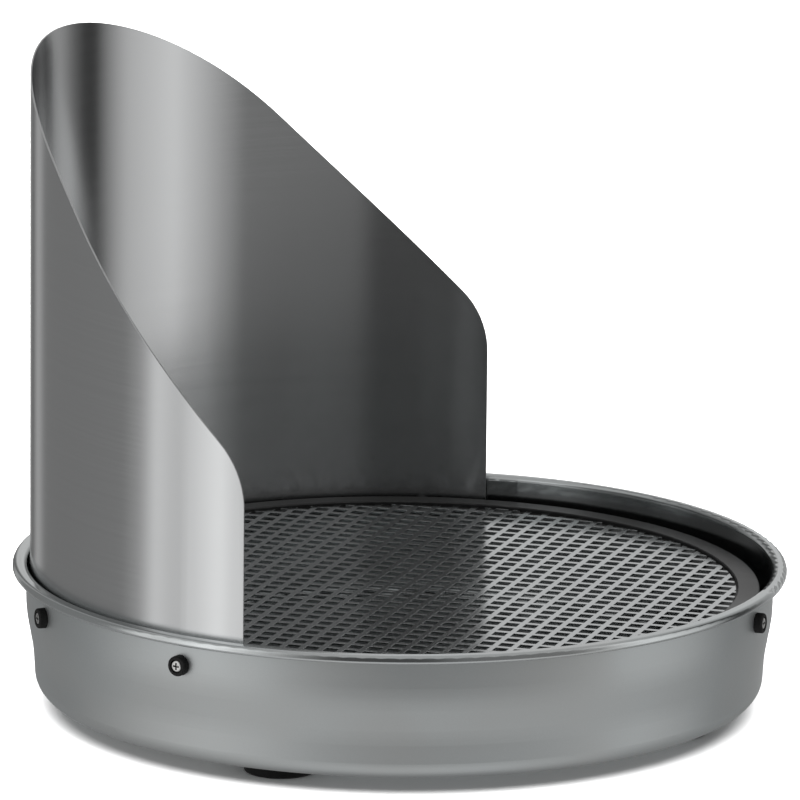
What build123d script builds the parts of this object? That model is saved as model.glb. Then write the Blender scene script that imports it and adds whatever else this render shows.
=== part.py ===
import os
from math import acos, atan2, ceil, cos, degrees, radians, sin, sqrt
from build123d import *

# Umbrella stand: a drawn steel tray on four feet, a rolled steel shield that stands inside
# the tray's wall, a black support ring, and a perforated plate that lies loose in the ring.
# Millimetres, +Z up, origin on the floor under the tray's centre, shield towards +Y.

# Driving dimensions
overall_height = 425.0          # floor to the shield's peak
tray_diameter = 500.0           # over the rolled lip

# tray
foot_height = 9.3               # floor to the tray's underside
tray_height = 85.1              # the tray's underside to the top of its lip
tray_sheet = 1.0
lip_width = 8.8                 # the lip stands this far out from the wall
lip_slope = 0.7                 # the lip's outer edge is this much lower than its root
lip_gap = 3.2                   # inside height of the rolled-under edge
lip_return = 4.0                # length that is rolled back under the lip
lip_root_radius = 2.8           # radii of the lip's underside: at the wall, at its outer edge
lip_edge_radius = 2.2
lip_return_radius = 0.68        # and where it is rolled back
shoulder_step = 4.8             # the wall narrows by this much at the shoulder
shoulder_drop = 31.1            # the top of the lip down to the shoulder's upper end
shoulder_height = 26.0
shoulder_radius = 80.0
wall_draft = 1.8                # taper of the lower wall, top to bottom
corner_radius = 12.0            # between the lower wall and the floor of the tray

# shield
shield_sheet = 1.0
shield_gap = 1.5                # between the shield and the tray's wall
shield_wrap = 169.8             # degrees round the tray
shield_foot = 6.5               # the shield reaches this far below its screws
shield_end_height = 179.0       # floor to the top of the straight end edges
peak_share = 0.8627             # radius of the cut's top over half the flat sheet's width
end_radius = 56.6               # of the cut's two ends, measured on the flat sheet

# support ring and perforated plate
ring_depth = 15.3               # lip top down to the ring's top
ring_border = 14.2              # visible width of the ring
ring_thickness = 10.4
ring_gap = 5.3                  # ring to the shield's inner face
ring_edge_radius = 0.7
plate_ledge = 10.0              # the plate rests on this width of the ring
ledge_thickness = 2.5
plate_clearance = 1.0
plate_inset = 1.8               # plate's top below the ring's top
plate_sheet = 1.5
hole_side = 8.7
hole_pitch = 12.5
plate_turn = 0.7                # degrees, the hole rows against the shield's axis

# bumpers, their screws and spacers
bumper_near = 39.2              # degrees from the shield's middle to the next bumper
bumper_end_gap = 10.5           # degrees from the shield's end to the last bumper
bumper_length = 5.2
bumper_diameter = 13.2
bumper_taper = 2.0              # degrees
bumper_edge_radius = 1.2
bumper_floor = 2.4              # rubber under the screw's head
head_diameter = 8.0
head_height = 2.5
head_edge_radius = 1.2
head_clearance = 0.25           # head to the bumper's counterbore
screw_diameter = 4.0
screw_clearance = 0.1           # shank to every hole that it passes
screw_bite = 9.0                # length of screw inside the ring
screw_hole_room = 2.0           # hole in the ring beyond the screw's tip
screw_tip_chamfer = 0.8
recess_width = 1.1              # cross recess
recess_span = 4.6
recess_depth = 1.5
recess_taper = 8.0              # degrees
spacer_diameter = 10.0
spacer_clearance = 0.05         # spacer to what stands on either side of it
sleeve_diameter = 8.0           # sleeves that keep the ring off the shield and the wall

# feet and their fasteners
foot_diameter = 46.0
foot_inset = 46.4               # the feet's centres stand this far in from the tray's waist
foot_count = 4
foot_turn = 86.0                # degrees from the shield's middle to the first foot
foot_edge_radius = 1.5
foot_floor = 4.0                # rubber between the screw's head and the tray
foot_screw_diameter = 5.0
foot_head_diameter = 9.5
foot_head_height = 3.2
foot_head_edge_radius = 1.0
foot_bore_clearance = 1.0       # screw head to the foot's counterbore
seal_diameter = 14.0
seal_thickness = 1.5
nut_across_flats = 8.0
nut_height = 4.0
foot_screw_end = 1.0            # thread that shows above the nut

# Places that follow from them
tray_base = foot_height
tray_top = tray_base + tray_height
tray_floor = tray_base + tray_sheet
lip_radius = tray_diameter / 2
wall_radius = lip_radius - lip_width
wall_inner_radius = wall_radius - tray_sheet
waist_radius = wall_radius - shoulder_step
shoulder_high = tray_top - shoulder_drop
shoulder_low = shoulder_high - shoulder_height
shield_radius = wall_inner_radius - shield_gap
shield_inner_radius = shield_radius - shield_sheet
shield_half_angle = shield_wrap / 2
bumper_far = shield_half_angle - bumper_end_gap
ring_top = tray_top - ring_depth
ring_radius = shield_inner_radius - ring_gap
ring_bottom = ring_top - ring_thickness
ring_opening_radius = ring_radius - ring_border
plate_radius = ring_opening_radius - plate_clearance
ledge_radius = plate_radius - plate_ledge
ledge_height = ring_top - plate_inset - plate_sheet
screw_height = ring_top - ring_thickness / 2
screw_hole_radius = screw_diameter / 2 + screw_clearance
foot_hole_radius = foot_screw_diameter / 2 + screw_clearance
foot_circle = waist_radius - foot_inset     # radius on which the feet stand
shield_bottom = screw_height - shield_foot

shield_screw_angles = [-bumper_far, -bumper_near, 0.0, bumper_near, bumper_far]
bumper_angles = shield_screw_angles + [180.0]
foot_angles = [foot_turn + 360.0 / foot_count * k for k in range(foot_count)]


def outward_plane(angle, distance, height):
    """Plane that faces out from the axis, at an angle counted from the shield's middle."""
    turn = radians(90 + angle)
    outward = Vector(cos(turn), sin(turn), 0)
    sideways = Vector(-sin(turn), cos(turn), 0)
    return Plane(origin=outward * distance + Vector(0, 0, height), x_dir=sideways, z_dir=outward)


def foot_plane(angle, height):
    """Horizontal plane over one foot, facing up."""
    turn = radians(90 + angle)
    return Plane.XY.offset(height).move(Location((foot_circle * cos(turn), foot_circle * sin(turn), 0)))


def hollow_wall_sag(radius, width):
    """How far a hollow round wall stands in over the width of a flat-ended piece."""
    return radius - sqrt(radius**2 - (width / 2) ** 2)


def finish(builder, label):
    """Label a finished piece and write it."""
    builder.part.label = label
    export_step(builder.part, f"parts/{label}.step")


os.makedirs("parts", exist_ok=True)

# Tray: one drawn sheet, revolved from the path of its outer skin
with BuildPart() as tray:
    lip_level = tray_top - tray_sheet
    lip_end = lip_radius - tray_sheet
    with BuildSketch(Plane.XZ) as tray_section:
        with BuildLine() as tray_skin:
            FilletPolyline(
                (0, tray_base),
                (waist_radius - wall_draft, tray_base),
                (waist_radius, shoulder_low),
                (wall_radius, shoulder_high),
                (wall_radius, lip_level),
                (lip_end, lip_level - lip_slope),
                (lip_end, lip_level - lip_slope - lip_gap),
                (lip_end - lip_return, lip_level - lip_slope - lip_gap),
                radius=[
                    corner_radius,
                    shoulder_radius,
                    shoulder_radius,
                    lip_root_radius,
                    lip_edge_radius,
                    lip_return_radius,
                ],
            )
            offset(amount=tray_sheet, side=Side.LEFT, closed=True)
        make_face()
    revolve(axis=Axis.Z)
    with Locations(*[outward_plane(angle, wall_radius, screw_height) for angle in bumper_angles]):
        Hole(radius=screw_hole_radius, depth=2 * tray_sheet)
    with Locations(*[foot_plane(angle, tray_floor) for angle in foot_angles]):
        Hole(radius=foot_hole_radius, depth=2 * tray_sheet)
finish(tray, "tray")

# Shield: its outline is drawn on the flat sheet, then rolled
roll_radius = shield_radius - shield_sheet / 2
half_width = radians(shield_half_angle) * roll_radius
peak_radius = peak_share * half_width
cut_margin = 6.0                # the rolled outline reaches past the sheet on every side
roll_steps = 12                 # points that carry each edge of the outline round the roll

# The flank is the line that touches the peak's circle and the end's circle.
peak_centre = Vector(0, overall_height - peak_radius)
end_centre = Vector(half_width - end_radius, shield_end_height)
between = end_centre - peak_centre
flank_angle = atan2(between.Y, between.X) + acos((peak_radius - end_radius) / between.length)
flank_normal = Vector(cos(flank_angle), sin(flank_angle))
flank_top = peak_centre + flank_normal * peak_radius
flank_bottom = end_centre + flank_normal * end_radius
flank_degrees = degrees(flank_angle)

with BuildLine() as shield_outline:
    Line((half_width, shield_bottom - cut_margin), (half_width, shield_end_height))
    CenterArc(end_centre, end_radius, 0, flank_degrees)
    Line(flank_bottom, flank_top)
    CenterArc(peak_centre, peak_radius, flank_degrees, 90 - flank_degrees)
    mirror(about=Plane.YZ)


def rolled(edge, radius):
    """One edge of the flat outline, rolled round the axis at a radius."""
    points = []
    for step in range(roll_steps + 1):
        flat = edge @ (step / roll_steps)
        turn = flat.X / roll_radius
        points.append((-radius * sin(turn), radius * cos(turn), flat.Y))
    return Edge.make_spline(points)


cut_faces = [
    Face.make_surface_from_curves(
        rolled(edge, shield_inner_radius - cut_margin), rolled(edge, shield_radius + cut_margin)
    )
    for edge in shield_outline.line.edges()
]
shield_cut = Shell(cut_faces)

with BuildPart() as rolled_sheet:
    sheet_margin = degrees(cut_margin / roll_radius)
    with BuildSketch(Plane.XY.offset(shield_bottom)):
        with BuildLine():
            start = 90 - shield_half_angle - sheet_margin
            sweep_angle = shield_wrap + 2 * sheet_margin
            inner = CenterArc((0, 0), shield_inner_radius, start, sweep_angle)
            outer = CenterArc((0, 0), shield_radius, start, sweep_angle)
            Line(inner @ 0, outer @ 0)
            Line(inner @ 1, outer @ 1)
        make_face()
    extrude(amount=overall_height + cut_margin - shield_bottom)

cut_pieces = rolled_sheet.part.split(shield_cut, keep=Keep.ALL)
with BuildPart() as shield:
    add(min(cut_pieces, key=lambda piece: piece.center().Z))
    with Locations(*[outward_plane(a, shield_radius, screw_height) for a in shield_screw_angles]):
        Hole(radius=screw_hole_radius, depth=2 * shield_sheet)
finish(shield, "shield")

# Support ring: a band with a ledge for the plate, and screw holes in its outer edge
with BuildPart() as support_ring:
    with BuildSketch(Plane.XY.offset(ring_bottom)):
        Circle(ring_radius)
        Circle(ledge_radius, mode=Mode.SUBTRACT)
    extrude(amount=ring_thickness)
    with BuildSketch(Plane.XY.offset(ledge_height)):
        Circle(ring_opening_radius)
    extrude(amount=ring_thickness, mode=Mode.SUBTRACT)
    with BuildSketch(Plane.XY.offset(ledge_height - ledge_thickness)):
        Circle(ring_opening_radius)
    extrude(amount=-ring_thickness, mode=Mode.SUBTRACT)
    top_edges = support_ring.faces().sort_by(Axis.Z)[-1].edges()
    fillet(top_edges, radius=ring_edge_radius)
    with Locations(*[outward_plane(angle, ring_radius, screw_height) for angle in bumper_angles]):
        Hole(radius=screw_hole_radius, depth=screw_bite + screw_hole_room)
finish(support_ring, "support_ring")

# Perforated plate: its square holes run out through its round edge
with BuildPart() as perforated_plate:
    hole_rows = 2 * ceil(plate_radius / hole_pitch) + 1
    with BuildSketch(Plane.XY.offset(ledge_height)) as plate_outline:
        Circle(plate_radius)
        with Locations(Rotation(0, 0, plate_turn)):
            with GridLocations(hole_pitch, hole_pitch, hole_rows, hole_rows):
                Rectangle(hole_side, hole_side, mode=Mode.SUBTRACT)
    extrude(plate_outline.sketch.faces().sort_by(SortBy.AREA)[-1], amount=plate_sheet)
finish(perforated_plate, "perforated_plate")

# Bumpers: rubber buffers round the tray, each held by a cross-head screw that ends in the ring
screw_reach = wall_radius + bumper_floor - ring_radius + screw_bite
for number, angle in enumerate(bumper_angles, start=1):
    base = outward_plane(angle, wall_radius, screw_height)
    with BuildPart() as bumper:
        with BuildSketch(base):
            Circle(bumper_diameter / 2)
        extrude(amount=bumper_length, taper=bumper_taper)
        fillet(bumper.faces().sort_by(Axis(base.origin, base.z_dir))[-1].edges(), bumper_edge_radius)
        with Locations(base.offset(bumper_length)):
            CounterBoreHole(
                radius=screw_hole_radius,
                counter_bore_radius=head_diameter / 2 + head_clearance,
                counter_bore_depth=bumper_length - bumper_floor,
                depth=bumper_length,
            )
    finish(bumper, f"bumper_{number}")

    seat = base.offset(bumper_floor)
    with BuildPart() as bumper_screw:
        with BuildSketch(seat):
            Circle(head_diameter / 2)
        extrude(amount=head_height)
        fillet(bumper_screw.faces().sort_by(Axis(seat.origin, seat.z_dir))[-1].edges(), head_edge_radius)
        with BuildSketch(seat):
            Circle(screw_diameter / 2)
        extrude(amount=-screw_reach)
        chamfer(
            bumper_screw.faces().sort_by(Axis(seat.origin, seat.z_dir))[0].edges(),
            screw_tip_chamfer,
        )
        with BuildSketch(seat.offset(head_height)):
            Rectangle(recess_span, recess_width)
            Rectangle(recess_width, recess_span)
        extrude(amount=-recess_depth, taper=recess_taper, mode=Mode.SUBTRACT)
    finish(bumper_screw, f"bumper_screw_{number}")

# Spacers: washers that keep the shield off the tray's wall, one on each of its screws
with BuildPart() as shield_spacers:
    washer_sag = hollow_wall_sag(wall_inner_radius, spacer_diameter)
    for angle in shield_screw_angles:
        with BuildSketch(outward_plane(angle, shield_radius + spacer_clearance, screw_height)):
            Circle(spacer_diameter / 2)
            Circle(screw_hole_radius, mode=Mode.SUBTRACT)
        extrude(amount=shield_gap - 2 * spacer_clearance - washer_sag)
finish(shield_spacers, "shield_spacers")

# Sleeves: they keep the ring off the shield, and off the wall on the open side
with BuildPart() as ring_sleeves:
    for angle in bumper_angles:
        outer_wall = shield_inner_radius if angle in shield_screw_angles else wall_inner_radius
        sleeve_room = outer_wall - hollow_wall_sag(outer_wall, sleeve_diameter) - ring_radius
        with BuildSketch(outward_plane(angle, ring_radius + spacer_clearance, screw_height)):
            Circle(sleeve_diameter / 2)
            Circle(screw_hole_radius, mode=Mode.SUBTRACT)
        extrude(amount=sleeve_room - 2 * spacer_clearance)
finish(ring_sleeves, "ring_sleeves")

# Feet: rubber discs, each held by a screw from below, a seal and a nut inside
for number, angle in enumerate(foot_angles, start=1):
    with BuildPart() as foot:
        with BuildSketch(foot_plane(angle, 0)):
            Circle(foot_diameter / 2)
        extrude(amount=foot_height)
        fillet(foot.edges().filter_by(GeomType.CIRCLE), foot_edge_radius)
        under = foot_plane(angle, 0)
        with Locations(Plane(origin=under.origin, x_dir=(1, 0, 0), z_dir=(0, 0, -1))):
            CounterBoreHole(
                radius=foot_hole_radius,
                counter_bore_radius=foot_head_diameter / 2 + foot_bore_clearance,
                counter_bore_depth=foot_height - foot_floor,
                depth=foot_height,
            )
    finish(foot, f"foot_{number}")

foot_seat = foot_height - foot_floor
with BuildPart() as foot_screws:
    foot_stack = foot_floor + tray_sheet + seal_thickness + nut_height + foot_screw_end
    for angle in foot_angles:
        with BuildSketch(foot_plane(angle, foot_seat)):
            Circle(foot_head_diameter / 2)
        head = extrude(amount=-foot_head_height)
        fillet(head.faces().sort_by(Axis.Z)[0].edges(), foot_head_edge_radius)
        with BuildSketch(foot_plane(angle, foot_seat)):
            Circle(foot_screw_diameter / 2)
        extrude(amount=foot_stack)
        with BuildSketch(foot_plane(angle, foot_seat - foot_head_height)):
            Rectangle(recess_span, recess_width)
            Rectangle(recess_width, recess_span)
        extrude(amount=recess_depth, mode=Mode.SUBTRACT)
finish(foot_screws, "foot_screws")

with BuildPart() as foot_seals:
    for angle in foot_angles:
        with BuildSketch(foot_plane(angle, tray_floor)):
            Circle(seal_diameter / 2)
            Circle(foot_hole_radius, mode=Mode.SUBTRACT)
        extrude(amount=seal_thickness)
finish(foot_seals, "foot_seals")

with BuildPart() as foot_nuts:
    for angle in foot_angles:
        with BuildSketch(foot_plane(angle, tray_floor + seal_thickness)):
            RegularPolygon(nut_across_flats / 2, 6, major_radius=False)
            Circle(foot_hole_radius, mode=Mode.SUBTRACT)
        extrude(amount=nut_height)
finish(foot_nuts, "foot_nuts")
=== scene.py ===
from math import cos, pi, radians, sin

import bmesh
import bpy
from mathutils import Matrix, Vector

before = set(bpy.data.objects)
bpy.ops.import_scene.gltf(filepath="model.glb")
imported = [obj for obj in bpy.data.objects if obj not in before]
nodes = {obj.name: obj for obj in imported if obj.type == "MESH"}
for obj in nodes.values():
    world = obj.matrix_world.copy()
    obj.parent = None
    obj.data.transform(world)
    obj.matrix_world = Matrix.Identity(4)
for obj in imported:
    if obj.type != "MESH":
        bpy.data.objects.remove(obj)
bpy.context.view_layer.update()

bpy.context.scene.view_settings.view_transform = "Standard"

# the camera has a long lens and stands a little above the tray
cameraSetup = {
    "azimuth": -71.03,
    "elevation": 13.134,
    "roll": 0.54,
    "distance": 6.43,
    "frameWidth": 0.5165,     # metres across the picture where the tray stands
    "lookAtHeight": 0.0907,   # height of the tray's lip
    "shiftUp": 0.1058,        # from the lip's centre to the middle of the picture
    "shiftRight": -0.0009,
    "sensor": 36.0,
}


def makeCamera(setup):
    turn, rise = radians(setup["azimuth"]), radians(setup["elevation"])
    back = Vector((sin(turn) * cos(rise), -cos(turn) * cos(rise), sin(rise)))
    right = Vector((cos(turn), sin(turn), 0))
    up = back.cross(right)
    target = Vector((0, 0, setup["lookAtHeight"])) + up * setup["shiftUp"] + right * setup["shiftRight"]
    data = bpy.data.cameras.new("studioCamera")
    data.sensor_width = setup["sensor"]
    data.lens = setup["sensor"] * setup["distance"] / setup["frameWidth"]
    data.clip_start, data.clip_end = 0.1, 100
    camera = bpy.data.objects.new("studioCamera", data)
    camera.rotation_mode = "QUATERNION"
    camera.location = target + back * setup["distance"]
    rollTurn = Matrix.Rotation(radians(setup["roll"]), 4, "Z").to_quaternion()
    camera.rotation_quaternion = (-back).to_track_quat("-Z", "Y") @ rollTurn
    bpy.context.scene.collection.objects.link(camera)
    bpy.context.scene.camera = camera


makeCamera(cameraSetup)
print("camera placed")


def put(tree, kind, inputs=None, **settings):    # adds one node; inputs takes values or sockets
    node = tree.nodes.new(kind)
    for name, value in settings.items():
        setattr(node, name, value)
    for name, value in (inputs or {}).items():
        if isinstance(value, bpy.types.NodeSocket):
            tree.links.new(value, node.inputs[name])
        else:
            node.inputs[name].default_value = value
    return node


def maths(tree, operation, *values):
    return put(tree, "ShaderNodeMath", dict(enumerate(values)), operation=operation).outputs[0]


def mixNumber(tree, factor, low, high):
    node = put(tree, "ShaderNodeMix", {0: factor, 2: low, 3: high}, data_type="FLOAT")
    return node.outputs[0]


def mixColour(tree, factor, first, second, blend="MIX"):
    node = put(tree, "ShaderNodeMix", data_type="RGBA", blend_type=blend)
    for place, value in ((0, factor), (6, first), (7, second)):
        if isinstance(value, bpy.types.NodeSocket):
            tree.links.new(value, node.inputs[place])
        else:
            node.inputs[place].default_value = value
    return node.outputs[2]


def grey(value):
    return (value, value, value, 1)


def fadeBetween(tree, value, start, end, low=0.0, high=1.0):
    inputs = {"Value": value, "From Min": start, "From Max": end, "To Min": low, "To Max": high}
    return put(tree, "ShaderNodeMapRange", inputs, interpolation_type="SMOOTHSTEP").outputs[0]


# pale and dark panels stand all round; the steel mirrors them
studio = {
    "panels": [      # degrees from the camera's right, past the back and the left to the front; light
        (0, 0.81), (8, 0.69), (16, 0.39), (24, 0.05), (30, 0.05), (38, 0.19), (45, 0.39), (60, 0.46),
        (74, 0.63), (95, 0.65), (102, 0.19), (108, 0.14), (115, 0.46), (119, 0.42), (124, 0.23),
        (174, 0.26), (182, 0.46), (188, 1), (196, 0.77), (204, 1.04), (212, 1.35), (220, 0.96),
        (230, 0.62), (240, 0.31), (251, 0.08), (279, 0.09), (286, 0.2), (322, 0.23), (338, 0.73),
        (348, 0.99), (360, 0.81),
    ],
    "ceiling": 0.5,
    "ceilingFrom": 0.58,       # sine of the height angle where the panels fade into the ceiling
    "ceilingTo": 0.82,
    "groundFront": 0.62,       # what the floor throws back, by the camera and beyond the stand
    "groundBack": 0.27,
    "groundFrom": -0.28,       # and where they fade into the floor
    "groundTo": -0.42,
    "pale": (0.97, 0.97, 0.97, 1),      # what the camera sees past the floor
    "overheadSize": 9.0,
    "overheadHeight": 4.0,
    "overheadPower": 900.0,
    "floorRadius": 14.0,
    "floorTones": (0.93, 0.95),
    "floorGrain": 30.0,
    "floorRough": 0.9,
}


def makeWorld(setup):
    world = bpy.data.worlds.new("studio")
    bpy.context.scene.world = world
    world.use_nodes = True
    tree = world.node_tree
    tree.nodes.clear()
    way = put(tree, "ShaderNodeSeparateXYZ", {0: put(tree, "ShaderNodeTexCoord").outputs["Generated"]})
    turn = maths(tree, "ARCTAN2", way.outputs[1], way.outputs[0])
    share = maths(tree, "MULTIPLY_ADD", turn, 1 / (2 * pi), -cameraSetup["azimuth"] / 360 + 1)
    share = maths(tree, "FRACT", share)
    ramp = put(tree, "ShaderNodeValToRGB", {0: share})
    stops = ramp.color_ramp.elements
    stops.remove(stops[0])
    for number, (angle, light) in enumerate(setup["panels"]):
        stop = stops[0] if number == 0 else stops.new(angle / 360)
        stop.position = angle / 360
        stop.color = (light, light, light, 1)
    upper = fadeBetween(tree, way.outputs[2], setup["ceilingFrom"], setup["ceilingTo"])
    light = mixColour(tree, upper, ramp.outputs[0], grey(setup["ceiling"]))
    fromFront = maths(tree, "COSINE", maths(tree, "MULTIPLY_ADD", share, 2 * pi, -1.5 * pi))
    ground = fadeBetween(tree, fromFront, -1.0, 1.0, setup["groundBack"], setup["groundFront"])
    lower = fadeBetween(tree, way.outputs[2], setup["groundFrom"], setup["groundTo"])
    groundTone = put(tree, "ShaderNodeCombineColor", {0: ground, 1: ground, 2: ground}).outputs[0]
    light = mixColour(tree, lower, light, groundTone)
    seen = put(tree, "ShaderNodeLightPath").outputs["Is Camera Ray"]
    shown = mixColour(tree, seen, light, setup["pale"])
    background = put(tree, "ShaderNodeBackground", {"Color": shown})
    put(tree, "ShaderNodeOutputWorld", {"Surface": background.outputs[0]})


def makeOverhead(setup):
    data = bpy.data.lights.new("overheadPanel", "AREA")
    data.shape, data.size, data.energy = "DISK", setup["overheadSize"], setup["overheadPower"]
    panel = bpy.data.objects.new("overheadPanel", data)
    panel.location = (0, 0, setup["overheadHeight"])
    panel.visible_glossy = False     # it only lifts the floor and the matt pieces
    panel.visible_camera = False
    bpy.context.scene.collection.objects.link(panel)


def makeFloor(setup):
    mesh = bpy.data.meshes.new("studioFloor")
    form = bmesh.new()
    bmesh.ops.create_circle(form, cap_ends=True, radius=setup["floorRadius"], segments=96)
    form.to_mesh(mesh)
    form.free()
    floor = bpy.data.objects.new("studioFloor", mesh)
    bpy.context.scene.collection.objects.link(floor)
    floor.visible_glossy = False     # the steel mirrors the panels, not the floor
    material = bpy.data.materials.new("paleFloor")
    material.use_nodes = True
    tree = material.node_tree
    shader = tree.nodes["Principled BSDF"]
    shader.inputs["Specular IOR Level"].default_value = 0.0
    grain = put(tree, "ShaderNodeTexNoise", {"Scale": setup["floorGrain"], "Detail": 2.0}).outputs[0]
    tone = fadeBetween(tree, grain, 0.3, 0.7, *setup["floorTones"])
    colour = put(tree, "ShaderNodeCombineColor", {0: tone, 1: tone, 2: tone}).outputs[0]
    tree.links.new(colour, shader.inputs["Base Color"])
    shader.inputs["Roughness"].default_value = setup["floorRough"]
    mesh.materials.append(material)


makeWorld(studio)
makeOverhead(studio)
makeFloor(studio)
print("studio light and floor ready")


# effects that several materials share
def newGroup(name, inputs, outputs):
    group = bpy.data.node_groups.new(name, "ShaderNodeTree")
    for label, kind, value in inputs:
        socket = group.interface.new_socket(label, in_out="INPUT", socket_type=kind)
        socket.default_value = value
    for label, kind in outputs:
        group.interface.new_socket(label, in_out="OUTPUT", socket_type=kind)
    return group, group.nodes.new("NodeGroupInput"), group.nodes.new("NodeGroupOutput")


def useGroup(tree, group, **inputs):
    node = put(tree, "ShaderNodeGroup", node_tree=group)
    for name, value in inputs.items():
        node.inputs[name].default_value = value
    return node


def makeGrainGroup():      # long brushing lines: the stretch is fine across the lines and coarse along them
    group, entry, leave = newGroup(
        "brushingLines",
        [("Stretch", "NodeSocketVector", (4, 4, 900)), ("Detail", "NodeSocketFloat", 4.0)],
        [("Lines", "NodeSocketFloat")],
    )
    place = put(group, "ShaderNodeTexCoord").outputs["Object"]
    pulled = put(group, "ShaderNodeVectorMath", {0: place, 1: entry.outputs["Stretch"]}, operation="MULTIPLY")
    fine = put(group, "ShaderNodeTexNoise", {
        "Vector": pulled.outputs[0], "Scale": 1.0, "Detail": entry.outputs["Detail"], "Roughness": 0.7,
    })
    spread = fadeBetween(group, fine.outputs[0], 0.25, 0.75)
    group.links.new(spread, leave.inputs["Lines"])
    return group


def makeCloudGroup():      # soft uneven patches, from handling and from how the sheet was rolled
    group, entry, leave = newGroup(
        "softPatches",
        [("Size", "NodeSocketFloat", 8.0), ("Contrast", "NodeSocketFloat", 0.2)],
        [("Patches", "NodeSocketFloat")],
    )
    place = put(group, "ShaderNodeTexCoord").outputs["Object"]
    cloud = put(group, "ShaderNodeTexNoise", {
        "Vector": place, "Scale": entry.outputs["Size"], "Detail": 2.0, "Distortion": 0.4,
    })
    low = maths(group, "SUBTRACT", 0.5, entry.outputs["Contrast"])
    high = maths(group, "ADD", 0.5, entry.outputs["Contrast"])
    group.links.new(fadeBetween(group, cloud.outputs[0], low, high), leave.inputs["Patches"])
    return group


def makeEdgeGroup():       # finds sharp edges, and rounds them for the light
    group, entry, leave = newGroup(
        "softEdges",
        [("Radius", "NodeSocketFloat", 0.0004)],
        [("Edge", "NodeSocketFloat"), ("Rounded", "NodeSocketVector")],
    )
    rounded = put(group, "ShaderNodeBevel", {"Radius": entry.outputs["Radius"]}, samples=4).outputs[0]
    straight = put(group, "ShaderNodeNewGeometry").outputs["Normal"]
    same = put(group, "ShaderNodeVectorMath", {0: rounded, 1: straight}, operation="DOT_PRODUCT")
    group.links.new(fadeBetween(group, same.outputs["Value"], 0.995, 0.8), leave.inputs["Edge"])
    group.links.new(rounded, leave.inputs["Rounded"])
    return group


def makeDustGroup():       # a thin film that settles on what faces up
    group, entry, leave = newGroup(
        "settledDust",
        [("Amount", "NodeSocketFloat", 0.2)],
        [("Dust", "NodeSocketFloat")],
    )
    facing = put(group, "ShaderNodeSeparateXYZ", {0: put(group, "ShaderNodeNewGeometry").outputs["Normal"]})
    flat = fadeBetween(group, facing.outputs[2], 0.4, 1.0)
    place = put(group, "ShaderNodeTexCoord").outputs["Object"]
    specks = put(group, "ShaderNodeTexNoise", {"Vector": place, "Scale": 700.0, "Detail": 3.0}).outputs[0]
    drift = put(group, "ShaderNodeTexNoise", {"Vector": place, "Scale": 14.0, "Detail": 3.0}).outputs[0]
    specks = fadeBetween(group, specks, 0.45, 0.7)
    drift = fadeBetween(group, drift, 0.3, 0.8)
    film = maths(group, "MULTIPLY", maths(group, "MULTIPLY", specks, drift), flat)
    group.links.new(maths(group, "MULTIPLY", film, entry.outputs["Amount"]), leave.inputs["Dust"])
    return group


grainGroup, cloudGroup = makeGrainGroup(), makeCloudGroup()
edgeGroup, dustGroup = makeEdgeGroup(), makeDustGroup()


def startMaterial(name):
    material = bpy.data.materials.new(name)
    material.use_nodes = True
    return material, material.node_tree, material.node_tree.nodes["Principled BSDF"]


# sheet steel: the shield is brushed round the tray, the tray and the plate are satin
# each look's edge amount sets how strongly a painted highlight lightens the cut edges
shieldSteel = {
    "stretch": (3, 3, 1400),
    "darkTone": (0.567, 0.574, 0.577, 1), "paleTone": (0.588, 0.595, 0.598, 1),
    "roughLow": 0.15, "roughHigh": 0.2, "anisotropy": 0.9,
    "lineHeight": 0.00001, "lineStrength": 0.1,
    "patchSize": 7.0, "patchTone": 0.03, "patchColour": grey(0.3),
    "edgeRadius": 0.0004, "paintedGlintAmount": 0.8,
}
traySteel = {
    "stretch": (700, 700, 900),
    "darkTone": (0.57, 0.6, 0.605, 1), "paleTone": (0.6, 0.63, 0.635, 1),
    "roughLow": 0.42, "roughHigh": 0.46, "anisotropy": 0.0,
    "lineHeight": 0.00002, "lineStrength": 0.1,
    "patchSize": 9.0, "patchTone": 0.3, "patchColour": (0.59, 0.575, 0.555, 1),
    "edgeRadius": 0.0001, "paintedGlintAmount": 0.0,
    "waveHeight": 0.0005, "waveSize": 9.0,
    "polishedFrom": 0.0885, "polishedTo": 0.09, "polishedRough": 0.16,     # lip and inside are smoother
}
plateSteel = {
    "stretch": (30, 900, 30),
    "darkTone": (0.51, 0.53, 0.535, 1), "paleTone": (0.6, 0.62, 0.625, 1),
    "roughLow": 0.12, "roughHigh": 0.2, "anisotropy": 0.0,
    "lineHeight": 0.00001, "lineStrength": 0.1,
    "patchSize": 10.0, "patchTone": 0.04, "patchColour": grey(0.3),
    "edgeRadius": 0.0004, "paintedGlintAmount": 0.4,
}
sheetWearAndGlint = {      # how all three have been handled (dust), plus a near-white painted highlight along the cut edges
    "patchContrast": 0.25, "dust": 0.08, "dustTone": grey(0.45), "dustRough": 0.3,
    "paintedGlintTone": grey(0.95), "cutEdgeRough": 0.45,
}


def polishedPart(tree, look):      # 1 on the lip and inside, 0 on the outer wall
    place = put(tree, "ShaderNodeTexCoord").outputs["Object"]
    height = put(tree, "ShaderNodeSeparateXYZ", {0: place}).outputs[2]
    lip = fadeBetween(tree, height, look["polishedFrom"], look["polishedTo"])
    flat = put(tree, "ShaderNodeVectorMath", {0: place, 1: (1, 1, 0)}, operation="MULTIPLY").outputs[0]
    outward = put(tree, "ShaderNodeVectorMath", {0: flat}, operation="NORMALIZE").outputs[0]
    facing = put(tree, "ShaderNodeNewGeometry").outputs["Normal"]
    agree = put(tree, "ShaderNodeVectorMath", {0: facing, 1: outward}, operation="DOT_PRODUCT")
    inside = fadeBetween(tree, agree.outputs["Value"], 0.1, -0.1)
    return maths(tree, "MAXIMUM", lip, inside)


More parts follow.
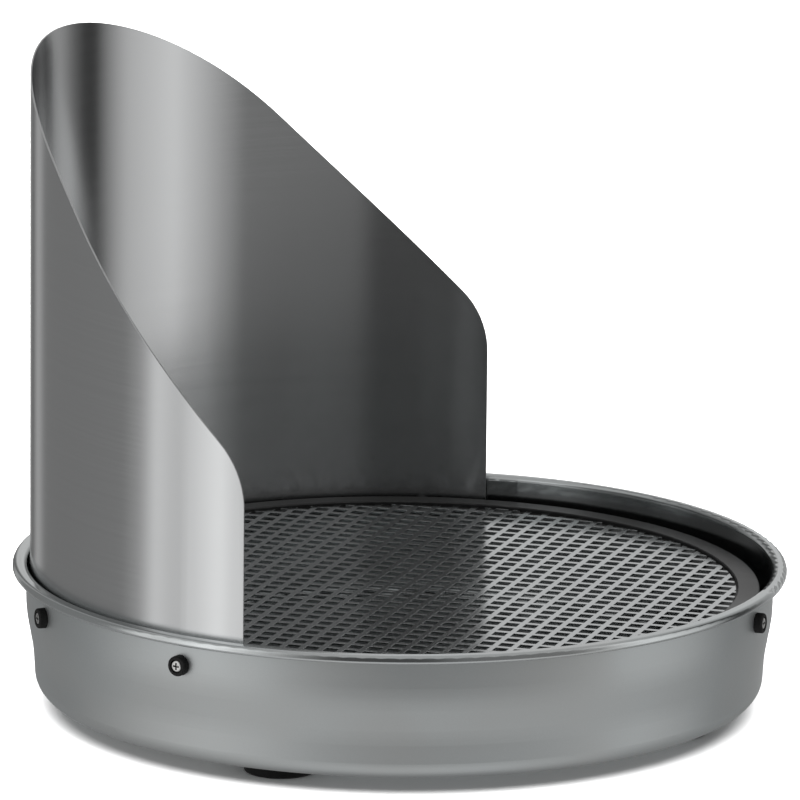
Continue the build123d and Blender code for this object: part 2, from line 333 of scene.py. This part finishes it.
def makeSteel(name, look, wear):
    material, tree, shader = startMaterial(name)
    lines = useGroup(tree, grainGroup, Stretch=look["stretch"]).outputs["Lines"]
    clouds = useGroup(tree, cloudGroup, Size=look["patchSize"], Contrast=wear["patchContrast"])
    patches = clouds.outputs["Patches"]
    edges = useGroup(tree, edgeGroup, Radius=look["edgeRadius"])
    dust = useGroup(tree, dustGroup, Amount=wear["dust"]).outputs["Dust"]
    tone = mixColour(tree, lines, look["darkTone"], look["paleTone"])
    patchTone = maths(tree, "MULTIPLY", patches, look["patchTone"])
    tone = mixColour(tree, patchTone, tone, look["patchColour"])
    tone = mixColour(tree, dust, tone, wear["dustTone"])
    # painted highlight: the edge mask lightens the base colour towards near white along the cut edges
    glint = maths(tree, "MULTIPLY", edges.outputs["Edge"], look["paintedGlintAmount"])
    tone = mixColour(tree, glint, tone, wear["paintedGlintTone"])
    tree.links.new(tone, shader.inputs["Base Color"])
    shader.inputs["Metallic"].default_value = 1.0
    rough = mixNumber(tree, lines, look["roughLow"], look["roughHigh"])
    rough = maths(tree, "MULTIPLY_ADD", patches, look["patchTone"] / 4, rough)
    rough = mixNumber(tree, glint, rough, wear["cutEdgeRough"])
    if "polishedFrom" in look:
        rough = mixNumber(tree, polishedPart(tree, look), rough, look["polishedRough"])
    rough = maths(tree, "MULTIPLY_ADD", dust, wear["dustRough"], rough)
    tree.links.new(rough, shader.inputs["Roughness"])
    if look["anisotropy"]:
        shader.inputs["Anisotropic"].default_value = look["anisotropy"]
        shader.inputs["Anisotropic Rotation"].default_value = 0.25
        tangent = put(tree, "ShaderNodeTangent", direction_type="RADIAL", axis="Z")
        tree.links.new(tangent.outputs[0], shader.inputs["Tangent"])
    normal = edges.outputs["Rounded"]
    if "waveHeight" in look:      # a drawn wall is never quite even
        place = put(tree, "ShaderNodeTexCoord").outputs["Object"]
        swell = put(tree, "ShaderNodeTexNoise", {"Vector": place, "Scale": look["waveSize"], "Detail": 1.5})
        wave = put(tree, "ShaderNodeBump", {
            "Strength": 1.0, "Distance": look["waveHeight"], "Height": swell.outputs[0], "Normal": normal,
        })
        normal = wave.outputs[0]
    bump = put(tree, "ShaderNodeBump", {
        "Strength": look["lineStrength"], "Distance": look["lineHeight"], "Height": lines, "Normal": normal,
    })
    tree.links.new(bump.outputs[0], shader.inputs["Normal"])
    return material


# black pieces: satin plastic for the ring, rubber for bumpers, feet and seals
ringPlastic = {
    "tone": 0.006, "wornTone": 0.02, "shine": 0.4, "rough": 0.3, "roughSpread": 0.08, "bumpScale": 1400.0,
    "bumpHeight": 0.00003, "bumpStrength": 0.25, "edgeRadius": 0.0004, "dust": 0.02,
}
blackRubber = {
    "tone": 0.006, "wornTone": 0.02, "shine": 0.15, "rough": 0.55, "roughSpread": 0.15, "bumpScale": 1800.0,
    "bumpHeight": 0.00005, "bumpStrength": 0.4, "edgeRadius": 0.0005, "dust": 0.02,
}
blackNylon = {
    "tone": 0.01, "wornTone": 0.02, "shine": 0.3, "rough": 0.45, "roughSpread": 0.1, "bumpScale": 2200.0,
    "bumpHeight": 0.00003, "bumpStrength": 0.2, "edgeRadius": 0.0002, "dust": 0.0,
}
blackUse = {"patchSize": 25.0, "patchContrast": 0.25, "dustTone": grey(0.35), "dustRough": 0.4}


def makeBlack(name, look, wear):
    material, tree, shader = startMaterial(name)
    edges = useGroup(tree, edgeGroup, Radius=look["edgeRadius"])
    clouds = useGroup(tree, cloudGroup, Size=wear["patchSize"], Contrast=wear["patchContrast"])
    patches = clouds.outputs["Patches"]
    dust = useGroup(tree, dustGroup, Amount=look["dust"]).outputs["Dust"]
    worn = maths(tree, "MULTIPLY", edges.outputs["Edge"], patches)
    tone = mixColour(tree, worn, grey(look["tone"]), grey(look["wornTone"]))
    tone = mixColour(tree, dust, tone, wear["dustTone"])
    tree.links.new(tone, shader.inputs["Base Color"])
    shader.inputs["Specular IOR Level"].default_value = look["shine"]
    rough = mixNumber(tree, patches, look["rough"], look["rough"] + look["roughSpread"])
    rough = maths(tree, "MULTIPLY_ADD", dust, wear["dustRough"], rough)
    tree.links.new(rough, shader.inputs["Roughness"])
    place = put(tree, "ShaderNodeTexCoord").outputs["Object"]
    skin = put(tree, "ShaderNodeTexNoise", {"Vector": place, "Scale": look["bumpScale"], "Detail": 3.0})
    bump = put(tree, "ShaderNodeBump", {
        "Strength": look["bumpStrength"], "Distance": look["bumpHeight"], "Height": skin.outputs[0],
        "Normal": edges.outputs["Rounded"],
    })
    tree.links.new(bump.outputs[0], shader.inputs["Normal"])
    return material


# screws and nuts: turned steel, with painted shade darkening the base colour down in the cross
screwSteel = {
    "tone": (0.62, 0.62, 0.61, 1), "paintedCrossShade": grey(0.1), "paintedShadeReach": 0.002,
    "roughLow": 0.22, "roughHigh": 0.34, "patchSize": 260.0, "patchContrast": 0.3,
    "scratchScale": 1500.0, "scratchHeight": 0.00003, "scratchStrength": 0.15, "edgeRadius": 0.0002,
}


def makeScrewSteel(name, look):
    material, tree, shader = startMaterial(name)
    edges = useGroup(tree, edgeGroup, Radius=look["edgeRadius"])
    clouds = useGroup(tree, cloudGroup, Size=look["patchSize"], Contrast=look["patchContrast"])
    place = put(tree, "ShaderNodeTexCoord").outputs["Object"]
    marks = put(tree, "ShaderNodeTexNoise", {"Vector": place, "Scale": look["scratchScale"], "Detail": 4.0})
    # painted shade: ambient occlusion darkens the base colour in the recess of the cross
    shade = put(tree, "ShaderNodeAmbientOcclusion", {"Distance": look["paintedShadeReach"]}, samples=4)
    outsidePaintedShade = fadeBetween(tree, shade.outputs["AO"], 0.3, 0.9)
    tone = mixColour(tree, outsidePaintedShade, look["paintedCrossShade"], look["tone"])
    tree.links.new(tone, shader.inputs["Base Color"])
    shader.inputs["Metallic"].default_value = 1.0
    rough = mixNumber(tree, clouds.outputs["Patches"], look["roughLow"], look["roughHigh"])
    tree.links.new(rough, shader.inputs["Roughness"])
    bump = put(tree, "ShaderNodeBump", {
        "Strength": look["scratchStrength"], "Distance": look["scratchHeight"],
        "Height": marks.outputs[0], "Normal": edges.outputs["Rounded"],
    })
    tree.links.new(bump.outputs[0], shader.inputs["Normal"])
    return material


finishes = {
    "tray": makeSteel("satinTraySteel", traySteel, sheetWearAndGlint),
    "shield": makeSteel("brushedShieldSteel", shieldSteel, sheetWearAndGlint),
    "perforated_plate": makeSteel("satinPlateSteel", plateSteel, sheetWearAndGlint),
    "support_ring": makeBlack("satinBlackPlastic", ringPlastic, blackUse),
}
nylon = makeBlack("blackNylon", blackNylon, blackUse)
rubber = makeBlack("blackRubber", blackRubber, blackUse)
brightScrew = makeScrewSteel("brightScrewSteel", screwSteel)
for name in nodes:
    if "screw" in name or "nuts" in name:
        finishes[name] = brightScrew
    elif "spacers" in name or "sleeves" in name:
        finishes[name] = nylon
    elif name not in finishes:
        finishes[name] = rubber


def dress(piece, material):
    piece.data.materials.clear()
    piece.data.materials.append(material)


for name, material in finishes.items():
    dress(nodes[name], material)
print("materials on", len(finishes), "pieces")
